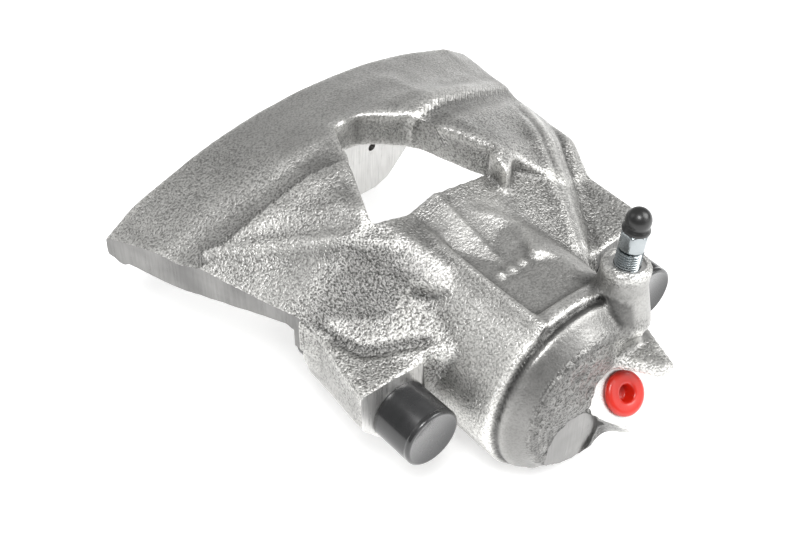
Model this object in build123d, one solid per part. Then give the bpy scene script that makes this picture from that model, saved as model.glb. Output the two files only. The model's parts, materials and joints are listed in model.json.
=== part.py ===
from build123d import *
from math import cos, radians, sin
import os

# Floating single-piston brake caliper, millimetres.
# Frame: origin at the centre of the piston's pad face with the piston fully retracted.
# +Y is the piston axis and points outboard (towards the fingers), +X runs from one guide
# pin to the other, +Z points radially outwards, away from the wheel axis.

os.makedirs("parts", exist_ok=True)

# ---------------------------------------------------------------- driving dimensions
PIN_X = 53.0            # guide pins sit at x = +-PIN_X, z = 0
HALF_WIDTH = 90.0       # half width of the bridge at the outboard edge
LEFT_WAIST = 62.0       # left side of the bridge where it meets the ear
RIGHT_WAIST = 70.0      # right side, the stiffer arm
EDGE_Y = 78.5           # outboard edge of the bridge roof
FINGER_Y = 71.0         # machined inner face of the fingers
OUTER_Y = 85.0          # outermost face of the finger plate
MOUTH_Y = -5.0          # open end of the cylinder
END_Y = -88.0           # closed end of the cylinder
CYL_R = 37.0            # cylinder casting
BAND_R = 35.4           # smooth band at the closed end
PISTON_R = 27.0         # 54 mm piston
CUP_R = 20.0            # inside of the piston cup
BORE_R = 27.05
BORE_END_Y = -79.0
DISC_Z = -100.0         # wheel axis height seen from the piston axis
DISC_CLEAR_R = 131.0    # room for a 256 mm disc plus 3 mm
EAR_SEAT_Y = -48.0      # face the guide caps sit on
EAR_FRONT_Y = -6.0
EAR_HALF = 17.0
EAR_TOP_Z = 17.5
EAR_BORE_R = 9.5
BUSH_START_Y = -38.0
PORT_AT = (14.0, -91.0, -4.0)    # centre of the hose port face
PORT_TILT = 40.0                 # port axis above -Y, degrees
BLEED_AT = (24.0, -77.0, 43.5)   # centre of the bleed boss face
BLEED_LEAN = 9.0                 # lean towards +X, degrees
THREAD_R = 4.75                  # M10 x 1 modelled at its pitch radius
SINK = -60.0                     # construction depth below the casting


# ---------------------------------------------------------------- helpers
def xz(y):
    """Sketch plane at height y: local x is +X, local y is +Z, normal is -Y."""
    return Plane(origin=(0, y, 0), x_dir=(1, 0, 0), z_dir=(0, -1, 0))


def bar_y(sketch, y0, y1):
    """Extrude an XZ sketch from y0 to y1."""
    return extrude(xz(y1) * sketch, amount=y1 - y0)


def rod_y(x, z, r, y0, y1):
    return bar_y(Pos(x, z) * Circle(r), y0, y1)


def tube_y(x, z, r_out, r_in, y0, y1):
    return rod_y(x, z, r_out, y0, y1) - rod_y(x, z, r_in, y0 - 1, y1 + 1)


def cone_y(x, z, r0, r1, y0, y1):
    """Frustum along Y, r0 at y0 and r1 at y1."""
    return loft([xz(y0) * Pos(x, z) * Circle(r0), xz(y1) * Pos(x, z) * Circle(r1)])


def polygon(points):
    return make_face(Polyline(*points, close=True))


def plan(points, z0, z1):
    """Prism standing on the XY plane."""
    return extrude(Pos(0, 0, z0) * polygon(points), amount=z1 - z0)


def side(points, x0, x1):
    """Prism along X from a (y, z) outline."""
    plane = Plane(origin=(x0, 0, 0), x_dir=(0, 1, 0), z_dir=(1, 0, 0))
    return extrude(plane * polygon(points), amount=x1 - x0)


def block(x0, x1, y0, y1, z0, z1):
    size = Box(x1 - x0, y1 - y0, z1 - z0)
    return Pos((x0 + x1) / 2, (y0 + y1) / 2, (z0 + z1) / 2) * size


def above(a, b, c):
    """Everything on the upper side of the plane through three points."""
    normal = (Vector(*b) - Vector(*a)).cross(Vector(*c) - Vector(*a))
    if normal.Z < 0:
        normal = normal * -1
    return Plane(origin=a, z_dir=tuple(normal)) * Pos(0, 0, 100) * Box(500, 500, 200)


def both(solid):
    """The solid and its mirror image across the YZ plane."""
    return solid + mirror(solid, about=Plane.YZ)


def save(name, shape):
    shape.label = name
    export_step(shape, f"parts/{name}.step")


port_frame = Plane(
    origin=PORT_AT,
    x_dir=(1, 0, 0),
    z_dir=(0, -cos(radians(PORT_TILT)), sin(radians(PORT_TILT))),
)
bleed_frame = Plane(
    origin=BLEED_AT,
    x_dir=(cos(radians(BLEED_LEAN)), 0, -sin(radians(BLEED_LEAN))),
    z_dir=(sin(radians(BLEED_LEAN)), 0, cos(radians(BLEED_LEAN))),
)


def along(frame, r, s0, s1):
    """Rod on a frame's axis from s0 to s1."""
    return extrude(frame * Pos(0, 0, s0) * Circle(r), amount=s1 - s0)


# ---------------------------------------------------------------- bridge
def arch(y, crown, haunch, middle, shoulder, tip):
    """Section of the roof: crown, two haunches and a falling corner at each side."""
    w = HALF_WIDTH + 2
    outline = Polyline(
        (-78, shoulder), (-w, tip), (-w, SINK), (w, SINK), (w, tip), (78, shoulder)
    )
    right = ThreePointArc((78, shoulder), (55, middle), (32, haunch))
    top = ThreePointArc((32, haunch), (0, crown), (-32, haunch))
    left = ThreePointArc((-32, haunch), (-55, middle), (-78, shoulder))
    return xz(y) * make_face([*outline.edges(), right, top, left])


CREASE_Y = 40.0
crease = arch(CREASE_Y, 47.0, 44.4, 33.4, 20.4, 13.0)
roof = extrude(crease, amount=CREASE_Y + 46)
nose = loft([crease, arch(EDGE_Y, 36.4, 33.9, 28.9, 21.0, 11.1)], ruled=True)

outline = [
    (-HALF_WIDTH, EDGE_Y),
    (HALF_WIDTH, EDGE_Y),
    (80, 27),
    (77, 0),
    (RIGHT_WAIST, -16),
    (52, -22),
    (36, -8),
    (29, -14),
    (-13, -30),
    (-19, -44),
    (-28, -30),
    (-38, -4.5),
    (-64, -8),
]
bridge = (roof + nose) & plan(outline, -12, 60)

# falling facet on the left shoulder, the ridge that runs on from the left arm, the right arm's end
bridge -= above((-72.4, 36.6, 23.5), (-39.6, -3, 37), (-64, -8, 19.5))
bridge -= above((-29, -4, 43.5), (-14, -7, 37.5), (-20, -28, 36.5)) & block(-40, 0, -50, 0, 0, 80)
bridge -= above((-36, -5, 38), (-22, -8, 43), (-22, -30, 34)) & block(-45, 0, -50, -4, 0, 80)
bridge -= above((60, -3, 30), (30, -20, 38), (67, -15, 20)) & block(0, 120, -40, 10, 0, 80)

# triangular window and the gap over the cylinder
window = plan([(-8, 42.5), (2, 41.5), (17, 30), (31, -4), (26, -5), (24, -60),
               (-12, -60), (-12, -5), (-29, -5)], -20, 70)
bridge -= window

# room for the disc and the pads
bridge -= rod_y(0, DISC_Z, DISC_CLEAR_R, MOUTH_Y, FINGER_Y)
bridge -= block(-110, 110, -20, EDGE_Y + 1, SINK, 4.5)

# ---------------------------------------------------------------- finger plate
half = [(0, 60), (93, 60), (93, 7), (86, 5), (64, 3),
        (51.5, -15), (42, -25), (35, -27.5), (24, -27.5), (20.5, -24), (0, -24)]
profile = polygon(half) + mirror(polygon(half), about=Plane.YZ)
profile -= Rectangle(41, 60).move(Location((0, -38, 0)))
profile -= Pos(0, -8) * Circle(20.5)
full_plate = bar_y(profile, FINGER_Y, EDGE_Y) & nose & plan(outline, -60, 60)
low_roof = extrude(arch(OUTER_Y + 1, 27.5, 25.0, 20.0, 12.0, 4.0), amount=OUTER_Y + 1 - EDGE_Y)
bulge = make_face([
    Line((-HALF_WIDTH, EDGE_Y - 1), (HALF_WIDTH, EDGE_Y - 1)),
    Line((HALF_WIDTH, EDGE_Y - 1), (HALF_WIDTH - 4, EDGE_Y)),
    ThreePointArc((HALF_WIDTH - 4, EDGE_Y), (0, OUTER_Y), (4 - HALF_WIDTH, EDGE_Y)),
    Line((4 - HALF_WIDTH, EDGE_Y), (-HALF_WIDTH, EDGE_Y - 1)),
])
full_plate += both(block(85, 88.4, 70, 74, 2.5, 8) & plan(outline, -60, 60))
outer_plate = bar_y(profile, EDGE_Y - 1, OUTER_Y + 1) & low_roof
outer_plate &= extrude(Pos(0, 0, SINK) * bulge, amount=120)
pin_holes = both(rod_y(33, -4.5, 1.8, FINGER_Y - 1, FINGER_Y + 6))
fingers = full_plate + outer_plate - pin_holes

# ---------------------------------------------------------------- cylinder
barrel = rod_y(0, 0, CYL_R, -77, MOUTH_Y)
barrel += rod_y(0, 0, BAND_R, -79.5, -77)
barrel += cone_y(0, 0, 27.5, BAND_R, END_Y, -79.5)
# flat recess on top, with a ramp behind the raised mouth ring and a steeper one at its far end
recess = plan([(-11.5, -12), (27, -12), (9.5, -47), (19, -53), (24, -72), (-11.5, -72)], 0, 50)
barrel -= recess & side([(-13, 38), (-29, 32.5), (-68.5, 32.5), (-71, 38), (-71, 50), (-13, 50)], -12, 28)
# raised rib between the flat and the left ear
rib = [(-30, 20), (-13.5, 37), (-11.5, 36.4), (-11.5, 20)]
barrel += bar_y(polygon(rib), -77, -9)

# ---------------------------------------------------------------- ears and webs
left_plan = [(0, -5), (-61, -5), (-64.5, -9), (-63.5, -15.5), (-46.5, -46.5), (-40.5, -47.5),
             (-36, -52), (-24, -60), (0, -60)]
left_web = plan(left_plan, -12, 45)
left_web -= above((-64, -8, 19.5), (-37.3, -5.4, 29), (-36, -49.6, 19))
# scooped root under the left shoulder
root = plan([(-64, -8), (-38, -4.5), (-29, -14), (-27, -28), (-42, -27), (-62, -14)], 0, 45)
left_web += root - above((-64, -8, 19.5), (-39.6, -3.5, 36.5), (-40, -24, 25.5))
right_plan = [(0, -5), (66, -5), (68, -12), (53, -33), (38, -46), (30, -58), (0, -60)]
right_web = plan(right_plan, -12, 45)
right_web -= above((60, -3, 29), (30, -47, 24), (25, -27, 30))
right_web -= above((60, -3, 29), (30, -47, 24), (52, -33, 17.5))
# underside of both webs rises towards the flanks
rise = side([(-4, 4.5), (-16, 4.5), (-30, -12.1), (-4, -12.1)], 44, 80)
webs = left_web + right_web - both(rise)


def ear(sign, flank):
    """One guide ear: flat top, straight flank, rounded keel."""
    section = [(-EAR_HALF, EAR_TOP_Z), (-EAR_HALF, 1), (-8, -10), (-4, -12.5), (5, -12.5),
               (EAR_HALF, -6), (EAR_HALF, EAR_TOP_Z - 1.5)]
    lug = bar_y(Pos(-PIN_X, 0) * polygon(section), EAR_SEAT_Y, EAR_FRONT_Y)
    lug &= plan(flank, -30, 30)
    return lug if sign < 0 else mirror(lug, about=Plane.YZ)


left_flank = [(-70, EAR_SEAT_Y), (-LEFT_WAIST, -14), (-61, 0), (-36, 0), (-36, EAR_SEAT_Y)]
right_flank = [(-70, EAR_SEAT_Y), (-69.5, -14), (-66, 0), (-36, 0), (-36, EAR_SEAT_Y)]
ears = webs + ear(-1, left_flank) + ear(1, right_flank)

# ---------------------------------------------------------------- bosses
bleed_boss = along(bleed_frame, 9.0, -26, 0)
bleed_boss += loft([bleed_frame * Pos(0, 0, -24) * Circle(13.5),
                    bleed_frame * Pos(0, 0, -7) * Circle(9.0)])
pad = [(-7, 17), (-15.5, 0), (-2, -15.5), (8, -12.5), (17, -4), (19, -1)]
port_boss = extrude(port_frame * Pos(0, 0, -20) * polygon(pad), amount=20)
# guard over the port, keeps a hose fitting from turning
guard = plan([(3, -78), (33, -74), (33, -79), (25, -103), (20, -102)], 9, 13)

casting = bridge + fingers + barrel + ears + bleed_boss + port_boss
casting -= extrude(port_frame * polygon(pad), amount=3) + along(port_frame, 10.0, 0, 8)
casting += guard

# ---------------------------------------------------------------- machining
casting -= rod_y(0, 0, BORE_R, BORE_END_Y, MOUTH_Y + 1)
SEAL_Y0, SEAL_Y1, SEAL_R = -18.0, -14.0, 30.5
casting -= rod_y(0, 0, SEAL_R, SEAL_Y0, SEAL_Y1)
BOOT_R = 33.0
casting -= rod_y(0, 0, BOOT_R, -10.5, MOUTH_Y + 1)
casting -= both(rod_y(PIN_X, 0, EAR_BORE_R, EAR_SEAT_Y - 1, EAR_FRONT_Y + 1))
casting -= along(port_frame, THREAD_R, -12, 1)
casting -= along(port_frame, 2.0, -18, -11)
casting -= along(bleed_frame, THREAD_R, -13, 1)
casting -= along(bleed_frame, 1.6, -26, -12)
save("caliper_housing", casting)

# ---------------------------------------------------------------- piston and its seals
piston = rod_y(0, 0, PISTON_R, -74, 0)
piston -= rod_y(0, 0, CUP_R, -62, 1)
piston = chamfer(piston.edges().filter_by(GeomType.CIRCLE).sort_by(Axis.Y)[0], 1.5)
save("piston", piston)

SEAL_GAP = 0.02
save("piston_seal", tube_y(0, 0, SEAL_R - SEAL_GAP, BORE_R, SEAL_Y0 + 0.1, SEAL_Y1 - 0.1))

boot = tube_y(0, 0, BOOT_R - 0.02, 29.5, -10.4, -7.4)
boot += tube_y(0, 0, 30.6, 29.5, -7.5, -3.4)
boot += tube_y(0, 0, 30.6, 28.4, -4.4, -3.4)
boot += tube_y(0, 0, 28.9, BORE_R, -6.4, -4.0)
save("dust_boot", boot)
save("boot_retaining_ring", tube_y(0, 0, BOOT_R - 0.02, 31.0, -7.4, -5.4))

# ---------------------------------------------------------------- guide pins
BUSH_HOLE_R = 5.1
SHANK_R = 5.0
CAP_R = 11.5
CAP_END_Y = -66.0


def guide_set(name, x):
    bush = rod_y(x, 0, EAR_BORE_R - 0.02, BUSH_START_Y, -7)
    bush += tube_y(x, 0, 8.8, 7.2, -7, -2)
    bush -= rod_y(x, 0, BUSH_HOLE_R, BUSH_START_Y - 1, 0)
    save(f"guide_bush_{name}", bush)

    pin = rod_y(x, 0, 6.75, -60, -53)
    pin += rod_y(x, 0, SHANK_R, -53, 0)
    pin += cone_y(x, 0, SHANK_R, 4.5, 0, 1)
    pin += rod_y(x, 0, 4.5, 1, 13)
    socket = Pos(x, 0) * RegularPolygon(3.5, 6, major_radius=False)
    pin -= bar_y(socket, -61, -54.5)
    save(f"guide_pin_{name}", pin)

    cap = rod_y(x, 0, CAP_R, CAP_END_Y, EAR_SEAT_Y)
    cap = fillet(cap.edges().filter_by(GeomType.CIRCLE).sort_by(Axis.Y)[0], 1.6)
    cap += rod_y(x, 0, EAR_BORE_R - 0.05, EAR_SEAT_Y, -44)
    cap -= rod_y(x, 0, 8.4, -63.6, -43)
    save(f"guide_cap_{name}", cap)


guide_set("left", -PIN_X)
guide_set("right", PIN_X)

# ---------------------------------------------------------------- bleed screw and its cap
HEX_AF = 9.0
screw = along(bleed_frame, THREAD_R - 0.06, -9.5, 6.5)
screw += loft([bleed_frame * Pos(0, 0, -12.4) * Circle(1.8),
               bleed_frame * Pos(0, 0, -9.5) * Circle(4.0)])
screw += extrude(
    bleed_frame * Pos(0, 0, 6.5) * RegularPolygon(HEX_AF / 2, 6, major_radius=False),
    amount=7,
)
screw += along(bleed_frame, 3.0, 13.0, 19.5)
screw += loft([bleed_frame * Pos(0, 0, 15) * Circle(3.5), bleed_frame * Pos(0, 0, 18) * Circle(3.0)])
screw -= along(bleed_frame, 1.0, -8, 20)
save("bleed_screw", screw)

cap = along(bleed_frame, 4.6, 13.6, 18.0) + along(bleed_frame, 5.0, 13.6, 15.0)
cap += bleed_frame * Pos(0, 0, 18.0) * Sphere(4.6)
cap -= along(bleed_frame, 3.55, 13, 19.8)
save("bleed_cap", cap)

# ---------------------------------------------------------------- hose port plug
plug = along(port_frame, THREAD_R - 0.06, -7, 0)
plug += along(port_frame, 8.3, 0, 2.6)
plug = fillet(plug.edges().filter_by(GeomType.CIRCLE).sort_by(Axis.Y)[0], 0.8)
plug -= along(port_frame, 3.2, -3, 4)
save("hose_port_plug", plug)
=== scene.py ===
import json
import math

import bmesh
import bpy
import numpy as np
from mathutils import Matrix, Vector, noise


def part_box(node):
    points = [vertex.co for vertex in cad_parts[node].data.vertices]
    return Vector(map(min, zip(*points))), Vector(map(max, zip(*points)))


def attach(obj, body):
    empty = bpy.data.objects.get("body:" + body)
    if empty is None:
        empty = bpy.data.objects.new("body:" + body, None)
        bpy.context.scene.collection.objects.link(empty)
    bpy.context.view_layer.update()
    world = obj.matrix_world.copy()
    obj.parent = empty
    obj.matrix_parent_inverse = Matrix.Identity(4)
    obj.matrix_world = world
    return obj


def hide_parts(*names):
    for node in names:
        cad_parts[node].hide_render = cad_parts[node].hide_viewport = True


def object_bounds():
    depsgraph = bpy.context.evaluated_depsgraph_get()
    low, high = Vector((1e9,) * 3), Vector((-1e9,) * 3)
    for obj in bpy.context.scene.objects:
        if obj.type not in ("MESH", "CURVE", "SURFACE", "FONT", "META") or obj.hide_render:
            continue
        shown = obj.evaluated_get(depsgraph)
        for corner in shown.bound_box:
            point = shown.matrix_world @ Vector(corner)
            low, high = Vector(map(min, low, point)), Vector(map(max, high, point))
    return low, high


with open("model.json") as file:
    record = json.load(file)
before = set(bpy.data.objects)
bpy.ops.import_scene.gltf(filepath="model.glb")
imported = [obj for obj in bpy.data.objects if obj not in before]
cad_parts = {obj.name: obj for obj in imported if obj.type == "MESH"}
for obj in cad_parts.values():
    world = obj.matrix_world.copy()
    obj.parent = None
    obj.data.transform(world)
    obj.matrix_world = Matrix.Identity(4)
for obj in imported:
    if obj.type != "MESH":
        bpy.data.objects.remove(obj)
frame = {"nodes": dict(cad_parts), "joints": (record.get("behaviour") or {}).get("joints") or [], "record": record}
cad_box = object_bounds()

MM = 0.001
TAU = 2 * math.pi

# ---------------------------------------------------------------- places taken from the frame
nodes = frame["nodes"]
joints = {j["name"]: j for j in frame["joints"]}
ear_low, ear_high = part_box("guide_bush_right")
PIN_X = (ear_low.x + ear_high.x) / 2
FIT_GAP = 0.03 * MM          # between a bush and its bore
EAR_BORE_R = (ear_high.x - ear_low.x) / 2 + FIT_GAP
cap_low, cap_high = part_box("guide_cap_right")
CAP_R = (cap_high.x - cap_low.x) / 2
CAP_LENGTH = 18 * MM         # from the cap's seat to its end
CAP_SEAT_Y = cap_low.y + CAP_LENGTH
_, ring_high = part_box("boot_retaining_ring")
RING_DEPTH = 0.4 * MM        # the boot's ring lies this far inside the cylinder's mouth
MOUTH_Y = ring_high.y + RING_DEPTH
housing_low, housing_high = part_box("caliper_housing")
FINGER_Y = 71 * MM           # machined inner face of the fingers
DISC_Z = -100 * MM           # height of the wheel's axis
DISC_ROOM_R = 130.6 * MM     # radius of the cut that clears the disc
FLOOR_Z = cad_box[0].z

# ---------------------------------------------------------------- sizes of the casting, in mm
CYLINDER_R = 38              # a little over the cast cylinder, so that its skin lies inside
BORE_R = 27.2
BORE_END_Y = -79
SEAL_GROOVE_R = 30.5
SEAL_GROOVE_Y = (-18, -14)
BOOT_ROOM_R = 33.0
BOOT_ROOM_Y = -10.5
END_Y = -88                  # closed end of the cylinder
BAND_Y = -78                 # start of the smooth band round the closed end
GROOVE_Y = -77.5             # groove in front of the band
PAD_HOLE_X = 33
PAD_HOLE_Z = -4.5
PAD_HOLE_R = 1.8
THREAD_BORE_R = 4.85
EAR_INNER_X = 42
EAR_OUTER_X = 74


# ---------------------------------------------------------------- frames of the two threads
def axis_frame(origin, axis, x_hint=(1, 0, 0)):
    """Matrix whose local Z runs along axis from origin."""
    z = Vector(axis).normalized()
    x = (Vector(x_hint) - z * z.dot(Vector(x_hint))).normalized()
    y = z.cross(x)
    rotation = Matrix((x, y, z)).transposed().to_4x4()
    return Matrix.Translation(origin) @ rotation


BLEED = axis_frame(joints["bleed_screw_turn"]["pos_m"], joints["bleed_screw_turn"]["axis"])
port_mount = next(m for m in frame["record"]["mounts"] if m["name"] == "hose_port")
PORT = axis_frame(port_mount["pos_m"], port_mount["axis"])


# ---------------------------------------------------------------- node materials
class Nodes:
    """A small helper round one material's node tree."""

    def __init__(self, name):
        self.material = bpy.data.materials.new(name)
        self.material.use_nodes = True
        self.tree = self.material.node_tree
        self.shader = self.tree.nodes["Principled BSDF"]
        self.place = self.add("ShaderNodeTexCoord").outputs["Object"]

    def add(self, kind, **settings):
        made = self.tree.nodes.new(kind)
        for key, value in settings.items():
            setattr(made, key, value)
        return made

    def feed(self, socket, value):
        """Gives a socket a number or a colour, or links it to another socket."""
        if isinstance(value, bpy.types.NodeSocket):
            self.tree.links.new(value, socket)
        else:
            socket.default_value = (*value, 1) if isinstance(value, tuple) else value

    def noise(self, scale, detail=2.0, roughness=0.5, stretch=(1, 1, 1)):
        mapping = self.add("ShaderNodeMapping")
        mapping.inputs["Scale"].default_value = stretch
        self.feed(mapping.inputs["Vector"], self.place)
        made = self.add("ShaderNodeTexNoise")
        made.inputs["Scale"].default_value = scale
        made.inputs["Detail"].default_value = detail
        made.inputs["Roughness"].default_value = roughness
        self.feed(made.inputs["Vector"], mapping.outputs["Vector"])
        return made.outputs["Fac"]

    def attribute(self, name):
        return self.add("ShaderNodeAttribute", attribute_name=name).outputs["Fac"]

    def math(self, operation, a, b):
        made = self.add("ShaderNodeMath", operation=operation)
        self.feed(made.inputs[0], a)
        self.feed(made.inputs[1], b)
        return made.outputs[0]

    def ramp(self, source, stops):
        made = self.add("ShaderNodeValToRGB")
        elements = made.color_ramp.elements
        while len(elements) < len(stops):
            elements.new(0.5)
        for element, (position, colour) in zip(elements, stops):
            element.position = position
            element.color = (*colour, 1)
        self.feed(made.inputs["Fac"], source)
        return made.outputs["Color"]

    def spread(self, source, low, high, out_low, out_high):
        made = self.add("ShaderNodeMapRange")
        for socket, value in zip(made.inputs[1:5], (low, high, out_low, out_high)):
            socket.default_value = value
        self.feed(made.inputs["Value"], source)
        return made.outputs["Result"]

    def multiply(self, factor, a, b):
        """Colour a darkened by colour b, by the factor's share."""
        made = self.add("ShaderNodeMix", data_type="RGBA", blend_type="MULTIPLY")
        for index, value in ((0, factor), (6, a), (7, b)):
            self.feed(made.inputs[index], value)
        return made.outputs[2]

    def bump(self, height, distance, strength, below=None):
        made = self.add("ShaderNodeBump")
        made.inputs["Distance"].default_value = distance
        self.feed(made.inputs["Strength"], strength)
        self.feed(made.inputs["Height"], height)
        if below is not None:
            self.feed(made.inputs["Normal"], below)
        return made.outputs["Normal"]

    def set(self, **values):
        for key, value in values.items():
            self.feed(self.shader.inputs[key.replace("_", " ")], value)
        return self.material


def cast_iron():
    """Shot-blasted sand casting: silvery, with a coarse grain that the grain attribute scales."""
    n = Nodes("cast_iron_skin")
    grain = n.attribute("grain")
    cavity = n.attribute("cavity")
    fine = n.noise(scale=1250, detail=2, roughness=0.6)
    coarse = n.noise(scale=700, detail=1, roughness=0.5)
    patches = n.noise(scale=34, detail=3, roughness=0.6)
    tone = n.ramp(patches, [(0.3, (0.48, 0.475, 0.46)), (0.7, (0.60, 0.595, 0.575))])
    pits = n.ramp(fine, [(0.38, (0.26, 0.26, 0.255)), (0.55, (1, 1, 1))])
    tone = n.multiply(n.math("MULTIPLY", grain, 0.7), tone, pits)
    # Painted shade in hollows and creases and painted light on ridges, from the cavity attribute, times the
    # painted light and shade of the areas in painted_light_and_shade_at.
    hollow_shade_and_ridge_light = n.math("MULTIPLY", n.spread(cavity, -0.05, 0.05, 1.3, 0.5), n.attribute("painted_light_and_shade"))
    shade = n.add("ShaderNodeCombineColor")
    for socket in shade.inputs[:3]:
        n.feed(socket, hollow_shade_and_ridge_light)
    tone = n.multiply(1.0, tone, shade.outputs[0])
    normal = n.bump(coarse, distance=0.45 * MM, strength=n.math("MULTIPLY", grain, 0.65))
    normal = n.bump(fine, distance=0.42 * MM, strength=n.math("MULTIPLY", grain, 0.9), below=normal)
    rough = n.spread(n.noise(scale=120, detail=2), 0.3, 0.7, 0.32, 0.46)
    return n.set(Base_Color=tone, Metallic=0.9, Roughness=rough, Normal=normal)


def machined_iron(name, low, high, stretch, depth):
    """Milled and bored faces, with tool marks along the direction of the least stretch."""
    n = Nodes(name)
    lines = n.noise(scale=260, detail=2, stretch=stretch)
    patches = n.noise(scale=60, detail=3)
    tone = n.ramp(patches, [(0.3, low), (0.7, high)])
    streaks = n.ramp(lines, [(0.35, (0.78, 0.78, 0.78)), (0.65, (1, 1, 1))])
    tone = n.multiply(0.8, tone, streaks)
    normal = n.bump(lines, distance=depth * MM, strength=0.6)
    rough = n.spread(lines, 0.3, 0.7, 0.26, 0.42)
    return n.set(Base_Color=tone, Metallic=0.9, Roughness=rough, Normal=normal)


def plain_metal(name, low, high, rough_low, rough_high, scale=300):
    """Turned or plated steel with faint marks."""
    n = Nodes(name)
    marks = n.noise(scale, detail=2)
    patches = n.noise(scale=90, detail=3)
    tone = n.ramp(patches, [(0.3, low), (0.7, high)])
    normal = n.bump(marks, distance=0.03 * MM, strength=0.5)
    rough = n.spread(marks, 0.3, 0.7, rough_low, rough_high)
    return n.set(Base_Color=tone, Metallic=1.0, Roughness=rough, Normal=normal)


def polymer(name, low, high, rough_low, rough_high, grain=500, depth=0.02, coat=0.0, light=0.0):
    """Moulded rubber or plastic: fine grain, dust and handling marks."""
    n = Nodes(name)
    marks = n.noise(scale=grain, detail=3)
    patches = n.noise(scale=70, detail=4, roughness=0.6)
    tone = n.ramp(patches, [(0.35, low), (0.7, high)])
    normal = n.bump(marks, distance=depth * MM, strength=0.5)
    rough = n.spread(patches, 0.3, 0.7, rough_low, rough_high)
    n.set(Base_Color=tone, Roughness=rough, Normal=normal)
    n.shader.inputs["Coat Weight"].default_value = coat
    n.shader.inputs["Coat Roughness"].default_value = 0.12
    n.shader.inputs["Subsurface Weight"].default_value = light
    n.shader.inputs["Subsurface Radius"].default_value = (0.004, 0.001, 0.0005)
    return n.material


CAST = cast_iron()
# Two copies of one machined iron: the lighter one on the fingers, bores and port pad, and a much darker one with
# coarser tool marks, whose dark colour is painted shade on the milled side face and the spot face.
MACHINED = machined_iron("cast_iron_machined", (0.66, 0.655, 0.64), (0.78, 0.775, 0.76),
                         stretch=(9, 9, 0.35), depth=0.05)
MILLED_SHADED = machined_iron("cast_iron_milled_shaded", (0.19, 0.188, 0.184), (0.29, 0.287, 0.28),
                       stretch=(4, 4, 0.3), depth=0.12)
PLATED = plain_metal("zinc_plated_steel", (0.26, 0.285, 0.295), (0.40, 0.425, 0.435), 0.16, 0.3)
TURNED = plain_metal("turned_steel", (0.50, 0.50, 0.49), (0.62, 0.62, 0.60), 0.22, 0.36, scale=400)
GROUND = plain_metal("ground_piston_steel", (0.62, 0.62, 0.61), (0.74, 0.74, 0.73), 0.12, 0.22)
RING = plain_metal("spring_ring_steel", (0.33, 0.33, 0.32), (0.45, 0.45, 0.44), 0.3, 0.42)
RUBBER = polymer("black_rubber", (0.006, 0.006, 0.006), (0.016, 0.016, 0.0155), 0.3, 0.48, coat=0.2)
CAP_BLACK = polymer("black_cap_moulding", (0.010, 0.0105, 0.011), (0.024, 0.024, 0.025),
                    0.2, 0.32, grain=260, depth=0.015, coat=0.6)
PLUG_RED = polymer("red_plug_moulding", (0.50, 0.012, 0.004), (0.62, 0.022, 0.008),
                   0.26, 0.4, grain=300, depth=0.015, coat=0.15, light=0.05)


# ---------------------------------------------------------------- mesh helpers
def new_object(name, mesh):
    """An object with this mesh, linked into the scene."""
    made = bpy.data.objects.new(name, mesh)
    bpy.context.scene.collection.objects.link(made)
    return made


def from_bmesh(name, bm):
    """Turns a bmesh into an object and frees it."""
    mesh = bpy.data.meshes.new(name)
    bm.to_mesh(mesh)
    bm.free()
    return new_object(name, mesh)


def turned(name, rings, place, steps=96):
    """Spins rings (radius, height) in mm about place's Z. A radius may be a function of the angle."""
    bm = bmesh.new()
    loops = []
    for radius, height in rings:
        if not callable(radius) and radius < 1e-6:
            loops.append([bm.verts.new(place @ Vector((0, 0, height * MM)))])
            continue
        loop = []
        for i in range(steps):
            angle = TAU * i / steps
            r = (radius(angle) if callable(radius) else radius) * MM
            point = Vector((r * math.cos(angle), r * math.sin(angle), height * MM))
            loop.append(bm.verts.new(place @ point))
        loops.append(loop)
    for a, b in zip(loops, loops[1:]):
        for i in range(steps):
            j = (i + 1) % steps
            corners = [a[i % len(a)], a[j % len(a)], b[j % len(b)], b[i % len(b)]]
            corners = list(dict.fromkeys(corners))
            if len(corners) > 2:
                bm.faces.new(corners)
    bmesh.ops.recalc_face_normals(bm, faces=bm.faces)
    return from_bmesh(name, bm)


def prism(name, outline, place, low, high):
    """Extrudes an outline in mm along place's Z from low to high."""
    bm = bmesh.new()
    bottom = [bm.verts.new(place @ Vector((x * MM, y * MM, low * MM))) for x, y in outline]
    top = [bm.verts.new(place @ Vector((x * MM, y * MM, high * MM))) for x, y in outline]
    bm.faces.new(bottom)
    bm.faces.new(top)
    count = len(outline)
    for i in range(count):
        j = (i + 1) % count
        bm.faces.new([bottom[i], bottom[j], top[j], top[i]])
    bmesh.ops.recalc_face_normals(bm, faces=bm.faces)
    return from_bmesh(name, bm)


def rod(name, place, radius, low, high, steps=96):
    """Solid cylinder in mm on place's Z, from low to high."""
    return turned(name, [(0, low), (radius, low), (radius, high), (0, high)], place, steps)


def along_y(x=0.0, z=0.0):
    """Frame at (x, 0, z), in metres, whose Z is +Y."""
    return axis_frame((x, 0, z), (0, 1, 0))


def apply_modifiers(piece):
    """Turns the modifiers' result into the piece's own mesh."""
    graph = bpy.context.evaluated_depsgraph_get()
    mesh = bpy.data.meshes.new_from_object(piece.evaluated_get(graph))
    piece.modifiers.clear()
    old = piece.data
    piece.data = mesh
    bpy.data.meshes.remove(old)


def dress(piece, body, material, bevel, sharp, replaces):
    """Material, soft corners, smooth shading, and the body that the piece belongs to."""
    piece.data.materials.clear()
    piece.data.materials.append(material)
    if bevel:
        cut = piece.modifiers.new("soft_edges", "BEVEL")
        cut.width = bevel * MM
        cut.segments = 3
        cut.limit_method = "ANGLE"
        cut.angle_limit = math.radians(sharp)
        apply_modifiers(piece)
    smooth_by_angle(piece, sharp)
    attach(piece, body)
    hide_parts(*replaces)


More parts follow.
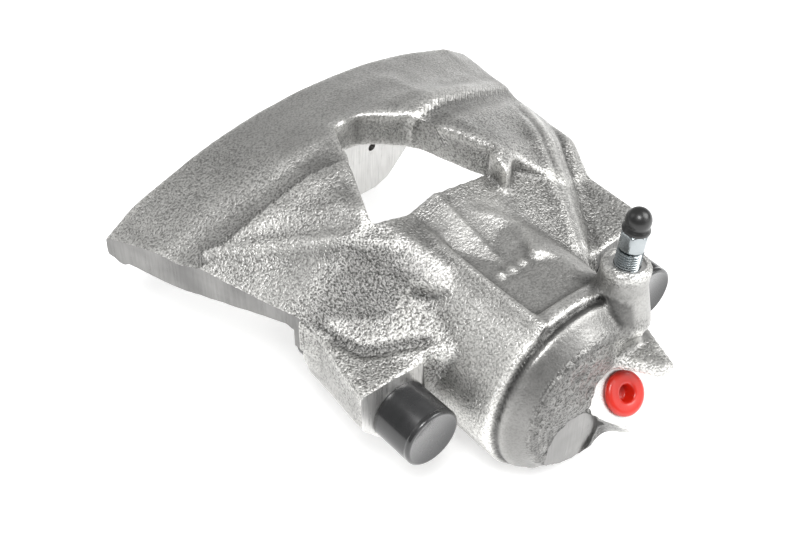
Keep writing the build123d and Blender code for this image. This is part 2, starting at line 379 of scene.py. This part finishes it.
def smooth_by_angle(piece, degrees):
    """Smooth shading, with edges sharper than the angle left crisp."""
    bm = bmesh.new()
    bm.from_mesh(piece.data)
    limit = math.radians(degrees)
    for face in bm.faces:
        face.smooth = True
    for edge in bm.edges:
        edge.smooth = edge.is_manifold and edge.calc_face_angle(0) < limit
    bm.to_mesh(piece.data)
    bm.free()


# ---------------------------------------------------------------- the casting
VOXEL = 1.05 * MM
STOCK = 1.4 * MM        # extra metal that the machining takes off again
SKIN = 1.3              # how far a plug stands out of its hole, in mm, just under the stock
ON_PLANE = 0.04 * MM    # vertices nearer than this count as lying on a machined face

# the milled face on the bridge's left edge runs between these two corners
side_a = Vector((-90, 78.5, 0)) * MM
side_b = Vector((-64, -8, 0)) * MM
side_run = (side_b - side_a).normalized()
SIDE_NORMAL = Vector((side_run.y, -side_run.x, 0))
if SIDE_NORMAL.x > 0:
    SIDE_NORMAL = -SIDE_NORMAL


def raw_casting():
    """The CAD housing with stock on the faces that are machined; its holes are plugged afterwards."""
    bm = bmesh.new()
    bm.from_mesh(nodes["caliper_housing"].data)
    bmesh.ops.remove_doubles(bm, verts=bm.verts, dist=1e-6)
    port_z = PORT.to_3x3().col[2]
    planes = [
        (side_a, SIDE_NORMAL, lambda p: p.y > -9 * MM),
        (Vector((0, MOUTH_Y, 0)), Vector((0, 1, 0)), lambda p: p.z < 32 * MM),
        (Vector((0, FINGER_Y, 0)), Vector((0, -1, 0)), lambda p: p.z < 32 * MM),
        (Vector((0, CAP_SEAT_Y, 0)), Vector((0, -1, 0)), lambda p: abs(p.x) > EAR_INNER_X * MM),
        (PORT.translation, port_z, lambda p: (p - PORT.translation).length < 24 * MM),
    ]
    for vertex in bm.verts:
        place = vertex.co.copy()
        for point, normal, inside in planes:
            if abs((place - point).dot(normal)) < ON_PLANE and inside(place):
                vertex.co += normal * STOCK
    return from_bmesh("casting", bm)


def plugs():
    """Rods that fill the holes before the remesh. Each is wider than its hole."""
    yield rod("plug", along_y(), BOOT_ROOM_R + 1, BOOT_ROOM_Y + 0.1, MOUTH_Y / MM + SKIN)
    yield rod("plug", along_y(), SEAL_GROOVE_R + 1, BORE_END_Y - 0.2, -6)
    for x in (-PIN_X, PIN_X):
        yield rod("plug", along_y(x), radius=10.4, low=CAP_SEAT_Y / MM - SKIN, high=-6.2)
    yield rod("plug", BLEED, radius=5.6, low=-25.5, high=SKIN)
    yield rod("plug", PORT, radius=5.6, low=-17.5, high=SKIN)
    for x in (-PAD_HOLE_X, PAD_HOLE_X):
        yield rod("plug", along_y(x * MM, PAD_HOLE_Z * MM), radius=2.6, low=69.8, high=77)


def join(base, others):
    """Adds the other objects' meshes to base and removes those objects."""
    bm = bmesh.new()
    for piece in [base, *others]:
        bm.from_mesh(piece.data)
    bm.to_mesh(base.data)
    bm.free()
    for piece in others:
        bpy.data.objects.remove(piece)


def arrays(mesh):
    """Vertex positions and normals, and the edges, as numpy arrays."""
    count = len(mesh.vertices)
    position = np.empty(count * 3, np.float32)
    normal = np.empty(count * 3, np.float32)
    mesh.vertices.foreach_get("co", position)
    mesh.vertices.foreach_get("normal", normal)
    edges = np.empty(len(mesh.edges) * 2, np.int32)
    mesh.edges.foreach_get("vertices", edges)
    position = position.reshape(-1, 3).astype(float)
    normal = normal.reshape(-1, 3).astype(float)
    return position, normal, edges.reshape(-1, 2)


def neighbour_mean(values, edges):
    """Mean of each vertex's neighbours."""
    a, b = edges.T
    count = np.bincount(a, minlength=len(values)) + np.bincount(b, minlength=len(values))
    columns = []
    for column in values.T:
        total = np.bincount(a, column[b], len(values)) + np.bincount(b, column[a], len(values))
        columns.append(total / np.maximum(count, 1))
    return np.stack(columns, 1)


def near_box(p, low, high, soft):
    """1 inside a box given in mm, falling to 0 over soft mm outside it."""
    gap = np.maximum(np.array(low) - p, p - np.array(high)).max(1)
    return np.clip(1 - gap / soft, 0, 1)


def blob(p, centre, size):
    """Smooth bump of height 1 round a centre, with a size in mm along each axis."""
    q = (p - np.array(centre)) / np.array(size)
    return np.exp(-(q * q).sum(1))


def crest(p, a, b, width):
    """Smooth ridge of height 1 along the line from a to b, in mm. Gaps along Z count for less."""
    squash = np.array([1, 1, 0.35])
    a = np.array(a) * squash
    b = np.array(b) * squash
    q = p * squash
    run = b - a
    t = np.clip(((q - a) @ run) / (run @ run), 0, 1)
    gap = np.linalg.norm(q - (a + t[:, None] * run), axis=1)
    return np.exp(-((gap / width) ** 2))


# Corners of the roof, the window and the arms that the soft forms run between, in mm.
PIN = PIN_X / MM
EDGE_X = housing_high.x / MM
FLAT_Z = 32.5                # flat top of the cylinder
EAR_TOP_Z = 17.5
CREASE_LEFT = (-EDGE_X, 46, 32)
SHOULDER_TOP = (-72, 37, 28)
SHOULDER_END = (-28, -14, 38)
WINDOW_TOP = (-8, 42.5, 46)
WINDOW_RIGHT = (17, 30, 46)
WINDOW_TIP = (31, -4, 43)
ARM_TOP = (72, 30, 36)
ARM_END = (33, -46, 24)


def shifted(points, x, y):
    """The same line moved sideways."""
    return [(a + x, b + y, c) for a, b, c in points]


valley = [CREASE_LEFT, (-24, 33, 44)]
arm_valley = [(20, 22, 46), (EDGE_X, 38, 30)]
long_ridge = [(EDGE_X - 14, 26, 29), (36, -45, 20)]
lip = [WINDOW_TOP, WINDOW_RIGHT, WINDOW_TIP]
ear_crease = [(-PIN - 9, -14, EAR_TOP_Z), (-PIN - 3, -32, EAR_TOP_Z), (-38, -44, 18)]

# Soft ridges and, with a minus sign, grooves of the casting: a line, half width and height in mm.
FORMS = [
    (valley, 7.5, -2.0),
    (shifted(valley, 0, -11), 5.5, 1.2),
    ([SHOULDER_TOP, SHOULDER_END], 3.0, 1.4),
    (ear_crease, 2.0, -1.3),
    (arm_valley, 5.0, -1.6),
    (shifted(arm_valley, 0, 9), 4.2, 1.5),
    ([ARM_TOP, ARM_END], 2.4, 1.3),
    (long_ridge, 3.0, 1.6),
    (shifted(long_ridge, 7, -4), 1.7, -1.4),
    (lip, 1.6, 0.9),
    (shifted(lip, -1, -3), 1.2, 0.6),
]
# Round hollows: centre, size along each axis and height in mm.
DENTS = [
    ((-56, 10, 28), (9, 11, 9), -1.5),
    ((-PIN + 3, -20, 22), (9, 9, 9), -1.0),
    ((PIN, 0, 40), (7, 14, 9), -1.2),
]
# Three plain round pips in a row on the flat top, and one under the cylinder's end.
PIP_PITCH = 5
PIPS = [((-PIP_PITCH + PIP_PITCH * i, -46, FLAT_Z), (1.4, 1.4, 3), 1.4) for i in range(3)]
PIPS.append(((-22, -84, -22), (2.5, 2.5, 2.5), 1.0))


# Areas of the skin in mm: low corner, high corner, soft border.
EAR_SLOPE = ((-66, -50, 8), (-28, -4, 40), 5)
LEFT_ROOF = ((-95, 20, 5), (-40, 80, 40), 15)
RIGHT_ARM = ((30, -50, 8), (70, 20, 50), 6)
SMOOTH_BAND = ((-40, END_Y, -40), (40, BAND_Y, 40), 1)
SANDY_END = ((-30, -95, -30), (14, -86, 30), 2)
FLAT_TOP = ((-11, -76, 25), (24, -14, 40), 3)

# Areas where light and shade are painted into the cast skin's colour: painted shade on the band, the end, the
# groove, the bleed boss and the sloping ear facet, and painted light on the cylinder's side and rear, the ear top,
# the shoulder and the step.
SHADED_BAND = ((-40, -95, -40), (16, BAND_Y, 40), 3)
SHADED_END = ((-30, -95, -30), (8, -86, 30), 3)
SHADED_GROOVE = ((-40, -78.6, -40), (12, -76.4, 40), 0.6)
SHADED_BLEED_BOSS = ((14, -90, 14), (40, -64, 41), 2)
SHADED_EAR_SLOPE = ((-64, -52, 8), (-27, -1, 37), 5)
LIT_CYLINDER_SIDE = ((-38, -76, -10), (-12, -8, 32), 4)
LIT_CYLINDER_REAR = ((-38, -74, -10), (-14, -52, 34), 4)
LIT_EAR_TOP = ((-80, -50, 13), (-40, -12, 20), 2)
LIT_SHOULDER = ((-75, -5, 18), (-42, 30, 36), 5)
LIT_STEP = ((-9, -29, 30), (20, -13, 40), 2)


def grain_at(p):
    """How coarse the cast skin is, from 0.2 on the smooth band to 1.35 on the sandy facets."""
    x, y, z = p.T
    radius = np.hypot(x, z)
    grain = 0.68 + 0.22 * np.clip((42 - y) / 20, 0, 1)
    grain += 0.45 * near_box(p, *EAR_SLOPE)
    grain += 0.3 * near_box(p, *LEFT_ROOF)
    grain += 0.25 * near_box(p, *RIGHT_ARM)
    grain -= 0.6 * near_box(p, *SMOOTH_BAND) * (radius > 26)
    grain += 0.6 * near_box(p, *SANDY_END) * (radius < 29)
    grain -= 0.3 * near_box(p, *FLAT_TOP)
    grain -= 0.45 * crest(p, *long_ridge, 3.2)
    return np.clip(grain, 0.2, 1.35)


def painted_light_and_shade_at(p, normal):
    """Light and shade painted into the skin's colour: 1 is plain, less is painted shade and more is painted light.
    """
    radius = np.hypot(p[:, 0], p[:, 2])
    up = normal[:, 2]
    # Painted shade on sloping facets that face this way, and painted light on the ear's faces that look straight
    # up.
    sloping = (up > 0.5) * (normal[:, 0] < -0.3) * (normal[:, 1] < -0.2)
    facing = sloping * np.clip((0.9 - up) / 0.08, 0, 1)
    painted_light_and_shade = np.ones(len(p))
    painted_light_and_shade -= 0.55 * near_box(p, *SHADED_BAND) * (radius > 25) * (radius < CYLINDER_R)
    painted_light_and_shade -= 0.5 * near_box(p, *SHADED_END) * (radius < 28)
    painted_light_and_shade -= 0.42 * near_box(p, *SHADED_EAR_SLOPE) * facing
    painted_light_and_shade += 0.25 * near_box(p, *LIT_CYLINDER_SIDE) * (1 - facing)
    painted_light_and_shade += 0.25 * near_box(p, *LIT_CYLINDER_REAR)
    painted_light_and_shade += 0.3 * near_box(p, *LIT_EAR_TOP) * (up > 0.88)
    painted_light_and_shade += 0.15 * near_box(p, *LIT_SHOULDER)
    painted_light_and_shade += 0.25 * near_box(p, *LIT_STEP)
    painted_light_and_shade -= 0.4 * near_box(p, *SHADED_BLEED_BOSS) * (radius > 30)
    painted_light_and_shade -= 0.4 * near_box(p, *SHADED_GROOVE) * (radius > 30) * (radius < CYLINDER_R)
    return np.clip(painted_light_and_shade, 0.3, 1.5)


SAND = ((-30, -95, -30), (4, -86, 30), 3)
WAVE_LENGTH = 14             # unevenness of the mould, in mm
RIPPLE_LENGTH = 2.4          # roughness of its sand, in mm
ROUNDING = 0.6               # share of the way that a point moves to its neighbours' mean
LESS_ROUNDING = 0.42         # how much less it moves on the small features
ROUNDING_PASSES = 5

# Small features that the rounding must not wash out, as areas like those above.
SMALL_FEATURES = [
    ((-2, -110, 6), (36, -78, 16), 2),
    ((14, -90, 30), (36, -64, 60), 3),
    ((-40, -79, -40), (40, -74, 40), 1),
]


def smooth_casting(mesh):
    """Rounds the edges as a sand mould does, less on the small features."""
    position, _, edges = arrays(mesh)
    p = position / MM
    weight = np.full(len(p), ROUNDING)
    small = np.max([near_box(p, *area) for area in SMALL_FEATURES], axis=0)
    weight -= LESS_ROUNDING * small
    for _ in range(ROUNDING_PASSES):
        position += (neighbour_mean(position, edges) - position) * weight[:, None]
    mesh.vertices.foreach_set("co", position.astype(np.float32).ravel())
    mesh.update()


def sculpt(mesh):
    """Soft ridges, hollows, pips and the unevenness of a sand mould, kept inside the CAD box."""
    position, normal, _ = arrays(mesh)
    p = position / MM
    lift = np.zeros(len(p))
    for points, width, height in FORMS:
        for a, b in zip(points, points[1:]):
            ridge = crest(p, a, b, width)
            lift = np.where(abs(ridge * height) > abs(lift), ridge * height, lift)
    for centre, size, height in DENTS + PIPS:
        lift += blob(p, centre, size) * height
    wave = np.array([noise.noise(Vector(q) / WAVE_LENGTH) for q in p])
    offset = Vector((9, 9, 9))
    ripple = np.array([noise.noise(Vector(q) / RIPPLE_LENGTH + offset) for q in p])
    lift += wave * 0.3 + ripple * 0.08 * grain_at(p)
    radius = np.hypot(p[:, 0], p[:, 2])
    groove = np.exp(-(((p[:, 1] - GROOVE_Y) / 1.4) ** 2))
    groove = groove * (radius > 30) * (radius < 40) * (p[:, 0] < 12)
    sand = near_box(p, *SAND) * (radius < 28)
    lift += sand * (0.4 + ripple * 0.5) - groove * 1.3
    position += normal * (lift * MM)[:, None]
    position = np.clip(position, np.array(housing_low), np.array(housing_high))
    mesh.vertices.foreach_set("co", position.astype(np.float32).ravel())
    mesh.update()


def cutters():
    """Machining tools in the order that they cut, each with the material of the face it leaves."""
    reach = SIDE_NORMAL * 12 * MM
    start = side_a - side_run * 4 * MM
    corners = [start, side_b, side_b + reach, start + reach]
    outline = [(c.x / MM, c.y / MM) for c in corners]
    yield prism("cutter", outline, Matrix.Identity(4), low=-8, high=40), MILLED_SHADED
    mouth = MOUTH_Y / MM
    disc = along_y(0, DISC_Z)
    yield rod("cutter", disc, DISC_ROOM_R / MM, mouth, FINGER_Y / MM, steps=256), MACHINED
    seal_low, seal_high = SEAL_GROOVE_Y
    yield turned("cutter", [
        (0, BORE_END_Y), (BORE_R, BORE_END_Y), (BORE_R, seal_low), (SEAL_GROOVE_R, seal_low),
        (SEAL_GROOVE_R, seal_high), (BORE_R, seal_high), (BORE_R, BOOT_ROOM_Y),
        (BOOT_ROOM_R, BOOT_ROOM_Y), (BOOT_ROOM_R, mouth + 3), (0, mouth + 3),
    ], along_y(), 128), MACHINED
    seat = CAP_SEAT_Y / MM
    for sign in (-1, 1):
        hole = along_y(sign * PAD_HOLE_X * MM, PAD_HOLE_Z * MM)
        edges = sorted((sign * EAR_INNER_X, sign * EAR_OUTER_X))
        outline = [(edges[0], seat - 5), (edges[1], seat - 5), (edges[1], seat), (edges[0], seat)]
        yield prism("cutter", outline, Matrix.Identity(4), low=-18, high=24), MACHINED
        yield rod("cutter", along_y(sign * PIN_X), EAR_BORE_R / MM, seat - 2, -3), MACHINED
        yield rod("cutter", hole, PAD_HOLE_R, low=69, high=77, steps=48), MACHINED
    yield rod("cutter", BLEED, radius=6.6, low=-0.4, high=4), MACHINED
    yield rod("cutter", BLEED, THREAD_BORE_R, low=-13, high=1), MACHINED
    pad = [(-8, 17.5), (-17.5, -1), (-2, -17.5), (9, -14), (18.5, -4), (20, 0)]
    yield prism("cutter", pad, PORT, low=0, high=3.2), MACHINED
    clearance = [(-8, 17.5), (-17.5, -1), (-8, -10), (3, -10), (3, 12)]
    yield prism("cutter", clearance, PORT, low=3, high=6.5), CAST
    yield rod("cutter", PORT, radius=10, low=0, high=8), MACHINED
    yield rod("cutter", PORT, THREAD_BORE_R, low=-12, high=1), MACHINED
    spot_face = along_y(-7.5 * MM, -16 * MM)
    yield rod("cutter", spot_face, radius=13, low=-92, high=END_Y + 0.5), MILLED_SHADED


def machine(casting):
    """Cuts the crisp holes and faces."""
    for cutter, material in cutters():
        cutter.data.materials.append(material)
        cut = casting.modifiers.new("machining", "BOOLEAN")
        cut.operation = "DIFFERENCE"
        cut.solver = "MANIFOLD"
        cut.material_mode = "TRANSFER"
        cut.object = cutter
        apply_modifiers(casting)
        bpy.data.objects.remove(cutter)


def colour_attributes(mesh):
    """Per-point cavity, grain and painted light and shade values that the cast material reads."""
    position, normal, edges = arrays(mesh)
    bend = ((neighbour_mean(position, edges) - position) * normal).sum(1) / VOXEL
    bend = bend[:, None]
    for _ in range(3):
        bend = neighbour_mean(bend, edges)
    p = position / MM
    layers = {"cavity": bend[:, 0], "grain": grain_at(p), "painted_light_and_shade": painted_light_and_shade_at(p, normal)}
    for name, values in layers.items():
        made = mesh.attributes.new(name, "FLOAT", "POINT")
        made.data.foreach_set("value", values.astype(np.float32))


def build_casting():
    """The CAD body as a sand casting with machined faces."""
    casting = raw_casting()
    join(casting, list(plugs()))
    remesh = casting.modifiers.new("sand_mould", "REMESH")
    remesh.mode = "VOXEL"
    remesh.voxel_size = VOXEL
    apply_modifiers(casting)
    smooth_casting(casting.data)
    sculpt(casting.data)
    casting.data.materials.clear()
    casting.data.materials.append(CAST)
    machine(casting)
    colour_attributes(casting.data)
    smooth_by_angle(casting, 40)
    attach(casting, "housing")
    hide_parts("caliper_housing")


build_casting()


# ---------------------------------------------------------------- carried-over CAD nodes
def paint(node, material):
    """Gives a carried-over node a material of its own."""
    for slot in nodes[node].material_slots:
        slot.link = "OBJECT"
        slot.material = material


paint("piston", GROUND)
paint("piston_seal", RUBBER)
paint("boot_retaining_ring", RING)
paint("dust_boot", RUBBER)
for hand in ("left", "right"):
    paint(f"guide_bush_{hand}", RUBBER)
    paint(f"guide_pin_{hand}", TURNED)


# ---------------------------------------------------------------- guide caps
def guide_cap(hand, x):
    """Push-in cap: a cylinder with a flat, lipped end, hollow inside."""
    r = CAP_R / MM
    seat = CAP_SEAT_Y / MM
    end = cap_low.y / MM
    spigot = EAR_BORE_R / MM - 0.08
    rings = [
        (0, end + 0.35), (r - 2.0, end + 0.35), (r - 1.5, end + 0.05), (r - 0.9, end),
        (r - 0.25, end + 0.35), (r, end + 1.0), (r, end + 1.7), (r - 0.22, end + 2.0),
        (r - 0.22, end + 2.4), (r - 0.04, end + 2.7), (r - 0.12, seat - 1.2), (r, seat - 0.9),
        (r, seat), (spigot, seat), (spigot, seat + 4), (8.4, seat + 4), (8.4, end + 2.4), (0, end + 2.4),
    ]
    piece = turned(f"guide_cap_{hand}_moulding", rings, along_y(x), 128)
    dress(piece, f"guide_cap_{hand}", CAP_BLACK, 0.18, 32,
          [f"guide_cap_{hand}"])


guide_cap("left", -PIN_X)
guide_cap("right", PIN_X)


# ---------------------------------------------------------------- bleed screw, bleed cap, port plug
def hexagon(across, limit):
    """Radius of a hexagon at each angle, cut off at limit."""
    def radius(angle):
        turn = (angle + math.pi / 6) % (math.pi / 3) - math.pi / 6
        return min(across / 2 / math.cos(turn), limit)
    return radius


def threaded(root, crest_r, height, pitch):
    """Radius of a screw thread at each angle for one height."""
    def radius(angle):
        phase = (height / pitch - angle / TAU) % 1
        return root + (crest_r - root) * min(1, 2.4 * min(phase, 1 - phase))
    return radius


def bleed_screw():
    """Cone point, M10 x 1 thread, hexagon and nipple, with the blind hole from the top."""
    rings = [(0, -12.4), (1.6, -12.4), (3.9, -9.6), (4.1, -9.4)]
    thread_low = -9.2
    thread_length = 15.0
    steps = 120
    for i in range(steps + 1):
        height = thread_low + thread_length * i / steps
        rings.append((threaded(4.0, 4.69, height, 1.0), height))
    corner = 5.1
    rings += [(3.7, 6.0), (3.7, 6.5), (4.3, 6.5), (hexagon(9.0, 4.45), 6.55),
              (hexagon(9.0, corner - 0.25), 6.95), (hexagon(9.0, corner), 7.3),
              (hexagon(9.0, corner), 12.7), (hexagon(9.0, corner - 0.25), 13.05),
              (hexagon(9.0, 4.45), 13.45), (4.0, 13.5), (2.6, 13.5), (2.6, 15.0), (3.5, 15.2),
              (3.0, 18.0), (2.6, 18.1), (2.6, 19.2), (2.3, 19.5), (1.0, 19.5), (1.0, -8), (0, -8)]
    piece = turned("bleed_screw_turned", rings, BLEED, 120)
    dress(piece, "bleed_screw", PLATED, 0, 30, ["bleed_screw"])


def bleed_cap():
    """Rubber cap: a lipped skirt, a neck and a domed head, hollow to just above the nipple."""
    head_r = 4.6
    head_z = 18.0
    dome = []
    for degrees in range(9, 82, 9):
        angle = math.radians(degrees)
        dome.append((head_r * math.cos(angle), head_z + head_r * math.sin(angle)))
    skirt = [(3.55, 13.7), (4.9, 13.7), (5.0, 14.0), (5.0, 14.7), (4.75, 15.2), (4.3, 15.7),
             (4.25, 16.1), (4.45, 16.6), (head_r, 17.4), (head_r, head_z)]
    outer = skirt + dome + [(0, head_z + head_r)]
    inner = [(3.55, 19.4), (3.3, 19.8), (0, 19.8)]
    piece = turned("bleed_cap_moulding", outer[::-1] + inner, BLEED, 96)
    dress(piece, "bleed_cap", RUBBER, 0, 45, ["bleed_cap"])


def port_plug():
    """Plastic plug: a shank in the thread and a rounded flange with a recess."""
    rings = [(0, -7), (4.2, -7), (4.69, -6.3), (4.69, 0), (7.9, 0), (8.3, 0.4), (8.3, 1.2),
             (7.9, 2.0), (7.1, 2.5), (6.2, 2.6), (4.3, 2.6), (3.5, 2.35), (3.2, 1.9), (3.2, -2.6),
             (2.8, -3.0), (0, -3.0)]
    piece = turned("hose_port_plug_moulding", rings, PORT, 96)
    dress(piece, "hose_port_plug", PLUG_RED, 0, 50, ["hose_port_plug"])


bleed_screw()
bleed_cap()
port_plug()


# ---------------------------------------------------------------- studio
def studio():
    """Pale floor, even surroundings and four softboxes round the part."""
    floor = prism("floor", [(-6000, -6000), (6000, -6000), (6000, 6000), (-6000, 6000)],
                  Matrix.Translation((0, 0, FLOOR_Z)), -20, -0.05)
    n = Nodes("pale_floor")
    tone = n.ramp(n.noise(3, 2), [(0.3, (0.92, 0.92, 0.92)), (0.7, (0.94, 0.94, 0.94))])
    floor.data.materials.append(n.set(Base_Color=tone, Roughness=0.9, Emission_Color=(1, 1, 1)))
    n.shader.inputs["Emission Strength"].default_value = 0.45

    world = bpy.data.worlds.new("studio")
    bpy.context.scene.world = world
    world.use_nodes = True
    background = world.node_tree.nodes["Background"]
    background.inputs["Color"].default_value = (1, 1, 1, 1)
    background.inputs["Strength"].default_value = 0.42

    # name, place in metres, width in metres, power in watts; each faces the origin
    lamps = [
        ("left_back_softbox", (-0.80, 0.95, 1.00), 0.7, 2.6),
        ("right_front_softbox", (0.75, -0.65, 0.95), 0.85, 14.0),
        ("top_softbox", (-0.42, -0.45, 1.15), 0.45, 10.5),
        ("front_softbox", (0.62, -1.05, 0.56), 0.9, 3.4),
    ]
    for name, place, size, power in lamps:
        light = bpy.data.lights.new(name, "AREA")
        light.size = size
        light.energy = power
        lamp = bpy.data.objects.new(name, light)
        bpy.context.scene.collection.objects.link(lamp)
        lamp.location = place
        look = -Vector(place)
        lamp.rotation_euler = look.to_track_quat("-Z", "Y").to_euler()


def camera():
    """From behind and to the left, 44 degrees above the floor."""
    data = bpy.data.cameras.new("camera")
    data.lens = 70.0
    data.sensor_width = 36.0
    made = bpy.data.objects.new("camera", data)
    bpy.context.scene.collection.objects.link(made)
    place = Vector((-280.20, -316.75, 409.31)) * MM
    look = Vector((0.4643, 0.5480, -0.6960))
    made.location = place
    made.rotation_euler = look.to_track_quat("-Z", "Y").to_euler()
    bpy.context.scene.camera = made
    bpy.context.scene.view_settings.view_transform = "Standard"


studio()
camera()
